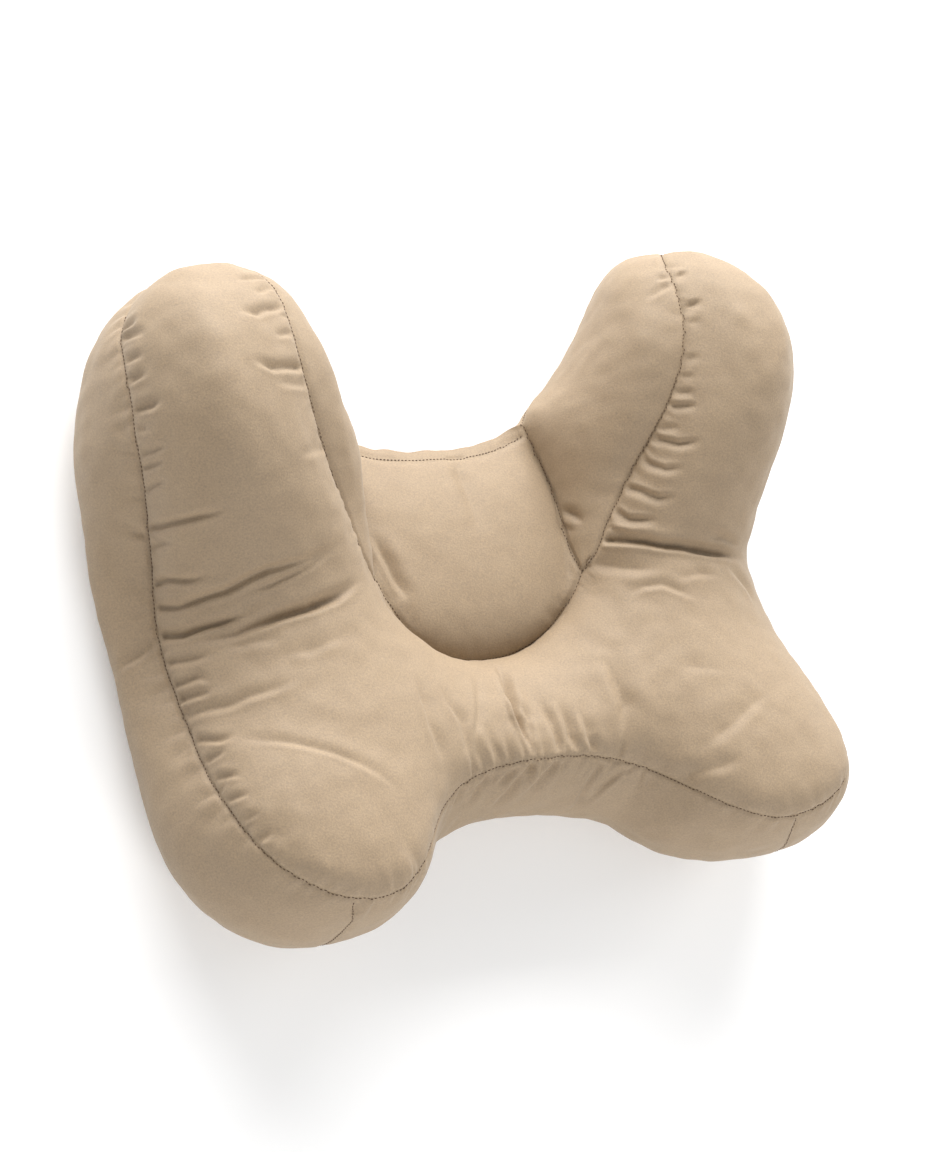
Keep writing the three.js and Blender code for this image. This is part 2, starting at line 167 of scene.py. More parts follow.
panel_of = {}
for patch in patches:
    area = sum(face.calc_area() for face in patch)
    height = sum(face.calc_area() * face.calc_center_median().z for face in patch) / area
    facing_up = sum(face.calc_area() * face.normal.z for face in patch) / area
    if height < back_height:
        panel = BACK
    elif area < smallest_panel:
        continue
    elif facing_up < boxing_facing:
        panel = BOXING
    else:
        panel = CRADLE if area < largest_cradle else FRONT
    for face in patch:
        panel_of[face] = panel
loose = [face for face in shell.faces if face not in panel_of]
while loose:
    for face in loose:
        known = [edge for edge in face.edges for other in edge.link_faces if other in panel_of]
        if known:
            longest = max(known, key=lambda edge: edge.calc_length())
            panel_of[face] = next(panel_of[other] for other in longest.link_faces if other in panel_of)
    loose = [face for face in loose if face not in panel_of]


def near_joint(vert):
    """How near a vertex is, from 0 to 1, to where the boxing of an arm runs out beside the cradle."""
    away = math.hypot(abs(vert.co.x) - joint_half, vert.co.y - joint_place) / joint_reach
    return math.exp(-away ** 2) if vert.co.z > back_height else 0


for face in shell.faces:
    face[panel_layer] = panel_of[face]
lifted = set()
cradle_seam = set()
foot_seam = set()
for edge in shell.edges:
    sides = {panel_of[face] for face in edge.link_faces}
    edge.seam = len(sides) == 2
    edge[crease_layer] = 1.0 if edge.seam else 0.0
    if edge.seam and BACK not in sides:
        lifted.update(edge.verts)
    if sides == {BOXING, CRADLE}:
        cradle_seam.update(edge.verts)
    if sides == {BOXING, BACK}:
        foot_seam.update(edge.verts)
for vert in sorted(lifted, key=lambda vert: vert.index):
    at_tip = min(max((vert.co.y - tip_start) / tip_length, 0), 1)
    at_cradle = min(max((cradle_start - vert.co.y) / cradle_length, 0), 1) * (vert in cradle_seam)
    inside = vert.co.y > inner_start and abs(vert.co.x) < inner_half
    lift = (inner_lift * inside + cradle_lift * at_cradle) * (1 - near_joint(vert))
    vert.co += vert.normal * (seam_lift + tip_lift * at_tip + lift)
by_joint = {vert: near_joint(vert) for vert in shell.verts if near_joint(vert) > joint_least}
for vert, share in by_joint.items():
    if all(panel_of[face] == BOXING for face in vert.link_faces):
        vert.co += vert.normal * joint_lift * share
for _ in range(joint_smoothing):
    evened = {}
    for vert, share in by_joint.items():
        beside = [edge.other_vert(vert).co for edge in vert.link_edges]
        evened[vert] = vert.co.lerp(sum(beside, Vector()) / len(beside), joint_step * share)
    for vert, place in evened.items():
        vert.co = place
for vert in shell.verts:
    if vert in foot_seam:
        vert.co += vert.normal * back_lift
    elif all(panel_of[face] == BACK for face in vert.link_faces):
        vert.co.xy -= vert.normal.xy * roll_tuck
for vert in shell.verts:
    at_back = math.exp(-(vert.co.z / tuck_height) ** 2)
    at_arch = math.exp(-(vert.co.x / arch_reach) ** 2) * (vert.co.y < arch_start)
    at_waist = math.exp(-(vert.co.y / waist_reach) ** 2) * (abs(vert.co.x) > waist_half)
    vert.co.y += arch_tuck * at_arch * at_back
    vert.co.x -= math.copysign(waist_tuck * at_waist * at_back, vert.co.x)
    shift = Vector((0, 0, 0))
    for lean in leans:
        away = vert.co / MM - Vector((lean["x"], lean["y"], lean.get("z", 0)))
        away.z *= lean_flatness if "z" in lean else 0
        share = math.exp(-(away.length / lean["reach"]) ** 2)
        shift += Vector((lean["across"], lean["along"], 0)) * MM * share
    vert.co += shift
for _ in range(seam_smoothing):
    smoothed = {}
    for vert in shell.verts:
        beside = [edge.other_vert(vert).co for edge in vert.link_edges if edge.seam]
        if len(beside) == 2:
            smoothed[vert] = vert.co * 0.5 + (beside[0] + beside[1]) * 0.25
    for vert, place in smoothed.items():
        vert.co = place
bmesh.ops.join_triangles(
    shell, faces=shell.faces, cmp_seam=True, angle_face_threshold=math.pi, angle_shape_threshold=math.pi)
cover_mesh = bpy.data.meshes.new("pillow_cover")
shell.to_mesh(cover_mesh)
shell.free()
cover = add_object("pillow_cover", cover_mesh)


def finish_modifiers(piece):
    """Turns a piece's modifiers into plain mesh."""
    depsgraph = bpy.context.evaluated_depsgraph_get()
    made = bpy.data.meshes.new_from_object(piece.evaluated_get(depsgraph), depsgraph=depsgraph)
    piece.modifiers.clear()
    old = piece.data
    piece.data = made
    bpy.data.meshes.remove(old)
    made.name = piece.name


def subdivide(piece):
    """Rounds a piece and makes its mesh twice as fine."""
    subdivision = piece.modifiers.new("finer cloth", "SUBSURF")
    subdivision.levels = 1
    subdivision.render_levels = 1
    finish_modifiers(piece)


def read(values, name, width=1, kind=np.float64):
    """One property of every item of a mesh collection, as an array with a row for each item."""
    flat = np.zeros(len(values) * width, kind)
    values.foreach_get(name, flat)
    return flat.reshape(-1, width) if width > 1 else flat


def find_panels(mesh):
    """The panel of each vertex, and the lowest and highest panel beside each edge."""
    corners = read(mesh.polygons, "loop_total", 1, np.int32)
    corner_panel = np.repeat(read(mesh.attributes["panel"].data, "value", 1, np.int32), corners)
    vert_panel = np.full(len(mesh.vertices), BACK)
    vert_panel[read(mesh.loops, "vertex_index", 1, np.int32)] = corner_panel
    corner_edge = read(mesh.loops, "edge_index", 1, np.int32)
    edge_low = np.full(len(mesh.edges), BACK)
    edge_high = np.full(len(mesh.edges), FRONT)
    np.minimum.at(edge_low, corner_edge, corner_panel)
    np.maximum.at(edge_high, corner_edge, corner_panel)
    return vert_panel, edge_low, edge_high


def make_tree(points):
    """Finds the nearest of some points."""
    tree = KDTree(len(points))
    for index, point in enumerate(points):
        tree.insert(point, index)
    tree.balance()
    return tree


# The filling presses the cloth out between the seams. More cloth is eased in beside the front seam than it
# has room for, so it buckles there.
filling_pressure = 8
eased_growth = 0.2
eased_width = 30 * MM
eased_least = 0.01  # cloth that is eased less than this is left alone
cloth_mass = 0.05  # kilograms at each vertex
cloth_stiffness = 0.05
cloth_quality = 5
settle_frames = 20
largest_move = 6 * MM
smallest_move = 1e-9  # metres, so that a point at rest doesn't mean a division by zero

subdivide(cover)
plain = read(cover.data.vertices, "co", 3)
vert_panel, edge_low, edge_high = find_panels(cover.data)
ends = read(cover.data.edges, "vertices", 2, np.int32)
sewn = vert_panel == BACK
sewn[ends[edge_low != edge_high].ravel()] = True
seam_tree = make_tree(plain[np.unique(ends[(edge_low == FRONT) & (edge_high != FRONT)])])
eased = np.exp(-np.array([seam_tree.find(point)[2] / eased_width for point in plain]) ** 2)
sewn_group = cover.vertex_groups.new(name="sewn")
sewn_group.add(np.flatnonzero(sewn).tolist(), 1.0, "REPLACE")
eased_group = cover.vertex_groups.new(name="eased")
for vert in np.flatnonzero(eased > eased_least).tolist():
    eased_group.add([vert], eased[vert], "REPLACE")
stuffing = cover.modifiers.new("stuffing", "CLOTH")
settings = stuffing.settings
settings.quality = cloth_quality
settings.mass = cloth_mass
settings.bending_stiffness = cloth_stiffness
settings.use_pressure = True
settings.uniform_pressure_force = filling_pressure
settings.effector_weights.gravity = 0
settings.vertex_group_mass = "sewn"
settings.vertex_group_shrink = "eased"
settings.shrink_min = 0
settings.shrink_max = -eased_growth
stuffing.collision_settings.use_collision = False
stuffing.point_cache.frame_start = 1
stuffing.point_cache.frame_end = settle_frames
for moment in range(1, settle_frames + 1):
    bpy.context.scene.frame_set(moment)
finish_modifiers(cover)
cover.vertex_groups.clear()
move = read(cover.data.vertices, "co", 3) - plain
size = np.linalg.norm(move, axis=1)
move *= np.minimum(1, largest_move / np.maximum(size, smallest_move))[:, None]
cover.data.vertices.foreach_set("co", (plain + move).ravel())
bpy.context.scene.frame_set(1)
subdivide(cover)

# Creases, where the cloth bends between the arms and the lobes or is gathered into a seam. Each starts at the
# first corner of its path, which is laid on the nearest cloth. All in millimetres. A negative depth is a
# ridge, and a turned crease has its soft side the other way.
creases = [
    # The left arm, beside its outer seam
    dict(panel=FRONT, path=((-249, 179, 83), (-247, 182, 109)), width=2.4, depth=2.6),
    dict(panel=FRONT, path=((-251, 173, 86), (-251, 173, 109), (-246, 171, 119)), width=2.4, depth=2.2),
    dict(panel=FRONT, path=((-255, 155, 98), (-249, 157, 120)), width=2.2, depth=2.0),
    dict(panel=FRONT, path=((-255, 142, 102), (-250, 144, 121)), width=2.2, depth=2.0),
    dict(panel=FRONT, path=((-255, 124, 101), (-251, 122, 119), (-246, 125, 129)), width=2.6, depth=3.0),
    dict(panel=FRONT, path=((-254, 111, 99), (-251, 110, 115)), width=2.1, depth=1.6),
    dict(panel=FRONT, path=((-252, 97, 94), (-249, 96, 109), (-244, 98, 123)), width=2.6, depth=2.4),
    dict(panel=FRONT, path=((-250, 88, 92), (-246, 89, 116)), width=2.2, depth=2.0),
    dict(panel=FRONT, path=((-247, 76, 85), (-244, 77, 112)), width=2.2, depth=2.0),
    # The left waist
    dict(panel=FRONT, width=2.1, depth=3.2,
         path=((-244, 54, 75), (-236, 50, 105), (-221, 52, 121), (-211, 55, 128))),
    dict(panel=FRONT, path=((-242, 43, 69), (-239, 41, 95)), width=2.2, depth=1.8),
    dict(panel=FRONT, width=2.1, depth=3.2,
         path=((-238, 20, 50), (-240, 18, 72), (-228, 15, 88), (-216, 17, 99))),
    dict(panel=FRONT, width=2.3, depth=3.4,
         path=((-239, 6, 45), (-235, 1, 71), (-208, 6, 95), (-185, 15, 106), (-125, 25, 110))),
    dict(panel=FRONT, width=2.2, depth=2.2,
         path=((-203, 1, 95), (-180, 6, 104), (-157, 14, 107), (-127, 23, 110))),
    dict(panel=FRONT, width=2.6, depth=4.6,
         path=((-239, -14, 43), (-233, -17, 67), (-219, -15, 80), (-186, -9, 94))),
    dict(panel=FRONT, width=3.0, depth=6.0,
         path=((-232, -25, 72), (-204, -23, 88), (-158, -14, 99), (-134, -7, 100), (-104, 5, 88))),
    dict(panel=FRONT, path=((-218, -27, 83), (-204, -30, 93), (-176, -29, 102)), width=3.6, depth=1.6),
    dict(panel=FRONT, path=((-190, -42, 100), (-164, -41, 104), (-132, -33, 102)), width=3.4, depth=1.2),
    dict(panel=FRONT, path=((-240, -33, 60), (-229, -34, 75), (-217, -32, 86)), width=2.4, depth=2.4),
    dict(panel=FRONT, path=((-238, -48, 60), (-230, -46, 78), (-223, -51, 85)), width=2.2, depth=2.4),
    dict(panel=FRONT, path=((-237, -59, 55), (-229, -57, 81), (-222, -52, 86)), width=2.2, depth=2.6),
    # The left lobe
    dict(panel=FRONT, width=3.0, depth=2.0,
         path=((-236, -70, 60), (-220, -67, 93), (-192, -61, 105), (-168, -58, 107))),
    dict(panel=FRONT, path=((-237, -87, 79), (-230, -88, 95), (-219, -86, 101)), width=2.0, depth=2.0),
    dict(panel=FRONT, width=2.6, depth=1.6,
         path=((-226, -88, 97), (-202, -94, 113), (-179, -103, 122), (-152, -118, 128), (-124, -142, 129))),
    dict(panel=FRONT, path=((-237, -99, 88), (-227, -95, 101)), width=2.0, depth=1.5),
    dict(panel=FRONT, path=((-237, -112, 94), (-226, -112, 111)), width=2.0, depth=1.8),
    dict(panel=FRONT, path=((-237, -127, 98), (-225, -125, 118)), width=2.0, depth=1.8),
    dict(panel=FRONT, path=((-236, -142, 110), (-223, -137, 124)), width=2.0, depth=1.5),
    dict(panel=FRONT, path=((-232, -158, 119), (-221, -150, 130)), width=2.0, depth=1.2),
    dict(panel=FRONT, path=((-225, -174, 124), (-216, -163, 134)), width=2.0, depth=0.9),
    # The left arm, beside its inner seam
    dict(panel=FRONT, path=((-156, 205, 120), (-183, 204, 135)), width=2.0, depth=1.8),
    dict(panel=FRONT, path=((-156, 194, 120), (-174, 191, 140)), width=1.8, depth=1.4),
    dict(panel=FRONT, path=((-158, 177, 120), (-177, 175, 148), (-194, 178, 150)), width=2.4, depth=2.6),
    dict(panel=FRONT, path=((-154, 160, 122), (-170, 159, 145)), width=2.0, depth=1.6),
    dict(panel=FRONT, path=((-151, 139, 122), (-175, 136, 150), (-195, 142, 152)), width=2.4, depth=2.8),
    dict(panel=FRONT, path=((-148, 128, 120), (-176, 125, 150)), width=2.2, depth=1.4),
    dict(panel=FRONT, path=((-134, 90, 109), (-167, 81, 140)), width=2.9, depth=1.2),
    # The right arm, beside its inner seam
    dict(panel=FRONT, width=2.2, depth=1.9, turned=True,
         path=((164, 191, 120), (168, 194, 123), (173, 196, 128))),
    dict(panel=FRONT, width=2.2, depth=2.2, turned=True,
         path=((162, 168, 129), (166, 169, 133), (172, 171, 139))),
    dict(panel=FRONT, path=((160, 155, 131), (168, 156, 139)), width=2.4, depth=0.8, turned=True),
    dict(panel=FRONT, path=((153, 127, 126), (162, 132, 137)), width=2.2, depth=1.4, turned=True),
    dict(panel=FRONT, path=((148, 119, 117), (157, 117, 135)), width=2.0, depth=1.3, turned=True),
    dict(panel=FRONT, path=((145, 109, 116), (155, 106, 134)), width=2.0, depth=1.6, turned=True),
    dict(panel=FRONT, path=((141, 99, 115), (155, 95, 136)), width=2.2, depth=2.2, turned=True),
    dict(panel=FRONT, path=((133, 86, 112), (143, 82, 126)), width=2.0, depth=1.3, turned=True),
    dict(panel=FRONT, width=2.2, depth=2.6, turned=True,
         path=((130, 79, 111), (139, 72, 122), (155, 70, 134))),
    dict(panel=FRONT, width=2.2, depth=2.2, turned=True,
         path=((122, 62, 107), (128, 55, 116), (143, 53, 126))),
    dict(panel=FRONT, width=2.4, depth=2.7, turned=True,
         path=((116, 50, 83), (126, 37, 106), (140, 34, 115))),
    dict(panel=FRONT, path=((109, 36, 73), (109, 26, 90), (126, 20, 104)), width=2.4, depth=2.7, turned=True),
    dict(panel=FRONT, path=((104, 26, 67), (102, 19, 81), (114, 12, 93)), width=2.2, depth=2.1, turned=True),
    # The right waist
    dict(panel=FRONT, width=2.8, depth=6.0,
         path=((98, 14, 70), (116, 7, 92), (150, -2, 100), (181, -9, 97), (214, -13, 86))),
    dict(panel=FRONT, path=((162, 0, 108), (179, 1, 104), (202, -4, 93)), width=2.4, depth=2.0),
    dict(panel=FRONT, path=((87, 1, 58), (100, -8, 85), (128, -16, 98)), width=5.0, depth=2.2),
    dict(panel=FRONT, width=2.6, depth=1.8,
         path=((94, -30, 88), (108, -24, 94), (121, -25, 99), (147, -40, 105))),
    dict(panel=FRONT, path=((129, -23, 100), (152, -20, 103), (172, -24, 102)), width=2.8, depth=1.6),
    dict(panel=FRONT, path=((178, -15, 100), (201, -33, 95), (206, -48, 95)), width=3.2, depth=1.8),
    # The bridge between the lobes
    dict(panel=FRONT, width=2.8, depth=7.2,
         path=((-4, -61, 63), (-14, -85, 90), (-16, -100, 99), (-14, -113, 104), (-10, -136, 98))),
    dict(panel=FRONT, path=((-17, -83, 91), (-21, -99, 99), (-20, -113, 104)), width=2.2, depth=-2.2),
    dict(panel=FRONT, path=((-8, -91, 92), (-7, -104, 99), (-10, -122, 105)), width=2.6, depth=3.8),
    dict(panel=FRONT, path=((8, -90, 92), (8, -111, 102), (11, -134, 99)), width=3.4, depth=3.2),
    dict(panel=FRONT, path=((20, -94, 97), (21, -120, 105), (27, -136, 97)), width=3.4, depth=3.2),
    dict(panel=FRONT, path=((32, -100, 101), (34, -122, 105), (44, -138, 95)), width=3.4, depth=2.9),
    dict(panel=FRONT, width=5.0, depth=3.5,
         path=((65, -67, 92), (66, -85, 101), (66, -104, 106), (58, -128, 107))),
    dict(panel=FRONT, width=2.8, depth=1.8,
         path=((-30, -66, 78), (-43, -91, 98), (-52, -108, 104), (-57, -136, 104))),
    dict(panel=FRONT, width=3.4, depth=1.9,
         path=((-71, -68, 97), (-67, -87, 102), (-62, -100, 104), (-65, -128, 106))),
    dict(panel=FRONT, width=3.0, depth=2.0,
         path=((-86, -56, 96), (-89, -78, 105), (-88, -102, 111), (-85, -130, 113))),
    # The right lobe
    dict(panel=FRONT, path=((106, -145, 121), (136, -131, 129), (182, -107, 124)), width=5.0, depth=1.8),
    dict(panel=FRONT, path=((104, -160, 115), (122, -159, 129), (140, -151, 133)), width=4.4, depth=1.6),
    dict(panel=FRONT, path=((112, -84, 113), (150, -94, 120)), width=4.0, depth=0.8),
    # The cradle, and the boxing where it meets the cradle
    dict(panel=CRADLE, path=((14, 92, 23), (8, 77, 36), (8, 57, 46), (6, 26, 56)), width=6.0, depth=1.8),
    dict(panel=CRADLE, width=3.4, depth=3.6,
         path=((-74, 42, 47), (-70, 24, 52), (-64, 2, 56), (-58, -14, 58))),
    dict(panel=BOXING, path=((83, 44, 47), (85, 36, 59), (89, 29, 65)), width=2.7, depth=2.6),
    dict(panel=BOXING, path=((87, 36, 42), (86, 27, 61)), width=2.4, depth=-1.4),
    # The boxing of the right arm, the left side and the arch
    dict(panel=BOXING, path=((165, 193, 118), (153, 190, 114)), width=2.2, depth=2.2),
    dict(panel=BOXING, path=((158, 184, 118), (137, 178, 118)), width=2.4, depth=1.6),
    dict(panel=BOXING, path=((-240, -18, 43), (-253, -24, 39), (-264, -32, 27)), width=2.4, depth=1.8),
    dict(panel=BOXING, path=((-240, 40, 66), (-250, 55, 65), (-263, 66, 62)), width=3.6, depth=1.0),
    dict(panel=BOXING, path=((-250, 97, 100), (-258, 107, 95), (-268, 124, 82)), width=4.0, depth=1.0),
    dict(panel=BOXING, path=((45, -142, 93), (39, -153, 82), (40, -170, 55)), width=3.0, depth=2.6),
    dict(panel=BOXING, path=((67, -148, 93), (53, -157, 80), (44, -166, 62)), width=3.0, depth=2.6),
    dict(panel=BOXING, path=((9, -136, 100), (0, -144, 95), (-11, -158, 78)), width=3.0, depth=2.6),
    dict(panel=BOXING, path=((-11, -134, 100), (-21, -147, 90), (-33, -162, 68)), width=3.0, depth=3.0),
    dict(panel=BOXING, path=((-23, -136, 97), (-29, -140, 95), (-36, -148, 88)), width=2.6, depth=2.4),
    dict(panel=BOXING, path=((-44, -138, 94), (-49, -145, 91), (-52, -158, 80)), width=2.8, depth=2.4),
    dict(panel=BOXING, path=((-66, -143, 93), (-70, -156, 87)), width=2.8, depth=1.8),
]
crease_step = 1.5 * MM
fewest_stops = 3
crease_start = 7 * MM  # a crease that comes out of the front seam deepens in this distance
crease_end = 0.4  # the share of its length in which a crease fades, or starts elsewhere
crease_fade = 25 * MM
seam_snap = 14 * MM  # a crease that starts nearer than this comes out of the seam
crease_waver = 1.2 * MM  # how far a crease strays from its path, in waves of the next size
waver_size = 18 * MM
waver_seed = 7  # Blender seeds this noise by the clock, and the creases have to be the same in every run


def make_skin(mesh):
    """Finds the nearest place on a mesh."""
    return BVHTree.FromPolygons(
        [tuple(vert.co) for vert in mesh.vertices], [tuple(face.vertices) for face in mesh.polygons])


skin = make_skin(cover.data)


def on_cloth(corners, waver=0):
    """A line through a few corners in millimetres, in short steps that waver a little, laid on the cloth."""
    corners = np.array(corners, float) * MM
    reach = np.concatenate(([0], np.cumsum(np.linalg.norm(np.diff(corners, axis=0), axis=1))))
    stops = np.linspace(0, reach[-1], max(fewest_stops, round(reach[-1] / crease_step)))
    points = np.stack([np.interp(stops, reach, column) for column in corners.T], axis=1)
    spots = [Vector(point) for point in points]
    spots = [spot + waver * noise.noise_vector(spot / waver_size) for spot in spots]
    return np.array([skin.find_nearest(spot)[0] for spot in spots])


vert_panel, edge_low, edge_high = find_panels(cover.data)
edge_ends = read(cover.data.edges, "vertices", 2, np.int32)
seam_verts = np.unique(edge_ends[(edge_low == FRONT) & (edge_high != FRONT)])
seam_tree = make_tree(read(cover.data.vertices, "co", 3)[seam_verts])
noise.seed_set(waver_seed)
crease_paths = []
for crease in creases:
    corners = list(crease["path"])
    spot, _, gap = seam_tree.find(Vector(corners[0]) * MM)
    if gap < seam_snap:
        corners.insert(0, tuple(spot / MM))
    crease_paths.append(on_cloth(corners, crease_waver))

# The cloth is drawn finer beside the front seam and along the creases, and coarser on the plain back.
seam_reach = 17 * MM
crease_reach = 7 * MM
shell = bmesh.new()
shell.from_mesh(cover.data)
panel_layer = shell.faces.layers.int["panel"]
plain_back = [vert for vert in shell.verts if all(face[panel_layer] == BACK for face in vert.link_faces)]
bmesh.ops.unsubdivide(shell, verts=plain_back, iterations=2)
crease_tree = make_tree(np.concatenate(crease_paths))
finer = set()
for face in shell.faces:
    middle = face.calc_center_median()
    by_seam = face[panel_layer] in (FRONT, BOXING) and seam_tree.find(middle)[2] < seam_reach
    if by_seam or crease_tree.find(middle)[2] < crease_reach:
        finer.update(face.edges)
bmesh.ops.subdivide_edges(
    shell, edges=sorted(finer, key=lambda edge: edge.index), cuts=1, use_grid_fill=True)
shell.to_mesh(cover.data)
shell.free()

cloth = cover.data
rest = read(cloth.vertices, "co", 3)
outward = read(cloth.vertex_normals, "vector", 3)
edge_ends = read(cloth.edges, "vertices", 2, np.int32)
vert_panel, edge_low, edge_high = find_panels(cloth)
rise = np.zeros(len(rest))


def ordered_chains(pairs):
    """Edges, as pairs of vertices, put end to end. A closed chain ends on the vertex where it starts."""
    beside = {}
    for a, b in pairs:
        beside.setdefault(int(a), []).append(int(b))
        beside.setdefault(int(b), []).append(int(a))
    ends = sorted(vert for vert, near in beside.items() if len(near) != 2)
    used = set()
    chains = []
    for start in ends + sorted(beside):
        for step in beside[start]:
            chain = [start, step]
            if frozenset(chain) in used:
                continue
            used.add(frozenset(chain))
            while len(beside[chain[-1]]) == 2:
                onward = [vert for vert in beside[chain[-1]] if frozenset((chain[-1], vert)) not in used]
                if not onward:
                    break
                used.add(frozenset((chain[-1], onward[0])))
                chain.append(onward[0])
            chains.append(chain)
    return sorted(chains, key=len, reverse=True)


def seam_between(*pairs):
    """The seams between pairs of panels, as chains of vertices, the longest first."""
    found = np.zeros(len(edge_ends), bool)
    for low, high in pairs:
        found |= (edge_low == low) & (edge_high == high)
    return ordered_chains(edge_ends[found])


front_seam = seam_between((FRONT, BOXING), (FRONT, CRADLE))[0]
back_seam = seam_between((BOXING, BACK))[0]
cradle_edge = seam_between((CRADLE, BACK))[0]
cradle_sides = seam_between((BOXING, CRADLE))
soft_way = np.array((0.45, 0.9, 0))  # the side on which a fold is soft, across and along the pillow


class Line:
    """A line on the cloth: how far each point of the cloth is from it and along it, and on which side."""

    def __init__(self, points, closed=False, reach=1.0):
        self.points = np.asarray(points)
        self.closed = closed
        steps = np.linalg.norm(np.diff(self.points, axis=0), axis=1)
        self.places = np.concatenate(([0], np.cumsum(steps)))
        self.total = self.places[-1]
        along = np.gradient(self.points, axis=0)
        along /= np.linalg.norm(along, axis=1)[:, None]
        self.along = along
        tree = make_tree(self.points)
        inside = (rest > self.points.min(axis=0) - reach) & (rest < self.points.max(axis=0) + reach)
        close = np.flatnonzero(inside.all(axis=1))
        nearest = np.array([tree.find(point)[1] for point in rest[close]])
        gap = rest[close] - self.points[nearest]
        drift = (gap * along[nearest]).sum(axis=1)
        self.distance = np.full(len(rest), reach)
        self.distance[close] = np.sqrt(np.maximum((gap ** 2).sum(axis=1) - drift ** 2, 0))
        self.place = np.zeros(len(rest))
        self.place[close] = self.places[nearest] + drift
        over = np.cross(along[nearest], outward[close])
        self.side = np.ones(len(rest))
        self.side[close] = np.sign((gap * over).sum(axis=1)) * np.sign((over @ soft_way).sum())

    def place_by(self, x, y):
        """The place on the line nearest to a point in millimetres across and along the pillow."""
        flat = self.points[:, :2] - np.array((x, y)) * MM
        return self.places[(flat ** 2).sum(axis=1).argmin()]

    def way(self, start, end):
        """How far it is along the line from one place to the other, the shorter way on a closed line."""
        ahead = end - start
        if self.closed:
            ahead = (ahead + self.total / 2) % self.total - self.total / 2
        return ahead


front_line = Line(rest[front_seam], closed=True)
back_line = Line(rest[back_seam])
edge_line = Line(rest[cradle_edge])

lip_height = 0.3  # of a crease's depth
lip_place = 1.7  # this and the two below are in widths of the crease
soft_width = 1.6
steep_width = 0.85
fold_power = 1.4  # under 2, so a fold is sharp at its bottom


def fold(spread):
    """The section of a crease, by the distance from its bottom in widths: cloth slopes softly down to it on
    one side, the positive one, and rises steeply on the other, with a low lip on both."""
    spread = np.where(spread > 0, spread / soft_width, -spread / steep_width)
    return lip_height * np.exp(-(spread - lip_place) ** 2) - np.exp(-spread ** fold_power)


for crease, path in zip(creases, crease_paths):
    line = Line(path, reach=crease_fade)
    share = np.clip(line.place / line.total, 0, 1)
    from_seam = seam_tree.find(path[0])[2] < seam_snap
    taper = np.clip(line.place / crease_start if from_seam else share / crease_end, 0, 1)
    taper = taper * np.clip((1 - share) / crease_end, 0, 1)
    taper = taper * taper * (3 - 2 * taper)
    side = -line.side if crease.get("turned") else line.side
    shape = crease["depth"] * MM * taper * fold(side * line.distance / (crease["width"] * MM))
    rise += np.where(vert_panel == crease["panel"], shape, 0)

# The thread holds the seam itself out of the creases.
seam_hold = 3 * MM
rise *= 1 - np.exp(-(front_line.distance / seam_hold) ** 2)

# Puckers: short creases that run away from a seam, one after the other, where the eased cloth is gathered
# into it. Places are across and along the pillow. All in millimetres.
front_puckers = [
    dict(side=FRONT, start=(-165, 217), end=(-250, 185), pitch=9, length=12, depth=1.3),
    dict(side=FRONT, start=(-252, 180), end=(-243, 60), pitch=5, length=7, depth=1.5),
    dict(side=FRONT, start=(-243, 60), end=(-240, -40), pitch=5, length=8, depth=1.6),
    dict(side=FRONT, start=(-240, -40), end=(-225, -180), pitch=5, length=7, depth=1.3),
    dict(side=FRONT, start=(-225, -180), end=(-120, -182), pitch=9, length=15, depth=2.0),
    dict(side=FRONT, start=(-118, -180), end=(-60, -140), pitch=10, length=12, depth=0.9),
    dict(side=FRONT, start=(-60, -140), end=(60, -138), pitch=6, length=20, depth=2.2),
    dict(side=FRONT, start=(60, -138), end=(150, -198), pitch=12, length=11, depth=0.8),
    dict(side=FRONT, start=(150, -198), end=(230, -175), pitch=10, length=12, depth=1.2),
    dict(side=FRONT, start=(232, -172), end=(240, -70), pitch=9, length=14, depth=1.2),
    dict(side=FRONT, start=(240, -60), end=(244, 40), pitch=8, length=16, depth=1.5),
    dict(side=FRONT, start=(246, 50), end=(254, 175), pitch=8, length=14, depth=1.2),
    dict(side=FRONT, start=(252, 182), end=(165, 217), pitch=9, length=13, depth=1.6),
    dict(side=FRONT, start=(162, 205), end=(100, 25), pitch=5, length=6, depth=1.1),
    dict(side=FRONT, start=(95, 15), end=(-95, 15), pitch=5, length=4, depth=0.6),
    dict(side=FRONT, start=(-100, 25), end=(-160, 205), pitch=6, length=9, depth=1.0),
    dict(side=BOXING, start=(-225, -185), end=(-110, -178), pitch=9, length=14, depth=2.2),
    dict(side=BOXING, start=(110, -178), end=(225, -185), pitch=9, length=12, depth=1.6),
    dict(side=BOXING, start=(-80, -150), end=(80, -150), pitch=7, length=18, depth=2.0),
    dict(side=BOXING, start=(-252, 180), end=(-235, -160), pitch=10, length=14, depth=1.7),
    dict(side=BOXING, start=(235, -160), end=(252, 180), pitch=12, length=12, depth=1.0),
    dict(side=BOXING, start=(162, 205), end=(100, 25), pitch=14, length=9, depth=0.7),
    dict(side=BOXING, start=(-100, 25), end=(-160, 205), pitch=14, length=8, depth=0.5),
    dict(side=BOXING, start=(-165, 217), end=(-250, 185), pitch=10, length=13, depth=1.2),
    dict(side=BOXING, start=(252, 182), end=(165, 217), pitch=10, length=13, depth=1.2),
    dict(side=CRADLE, start=(85, 0), end=(-85, 0), pitch=8, length=8, depth=0.7),
]
pucker_take_up = 2 * MM  # how soon a pucker deepens, away from the seam
pucker_place = (0.2, 0.8)  # where a pucker may lie in its share of the seam
weakest_pucker = 0.35  # of its row's depth
pucker_luck = 0.85  # and what luck may add to that
shortest_pucker = 0.5  # of its row's length
pucker_growth = 0.7  # and what its strength adds to that
pucker_width = 0.3  # of the pitch
pucker_widths = (0.8, 1.3)  # times that width
pucker_lean = 0.3
pucker_flare = 0.7  # how much wider it gets in its length
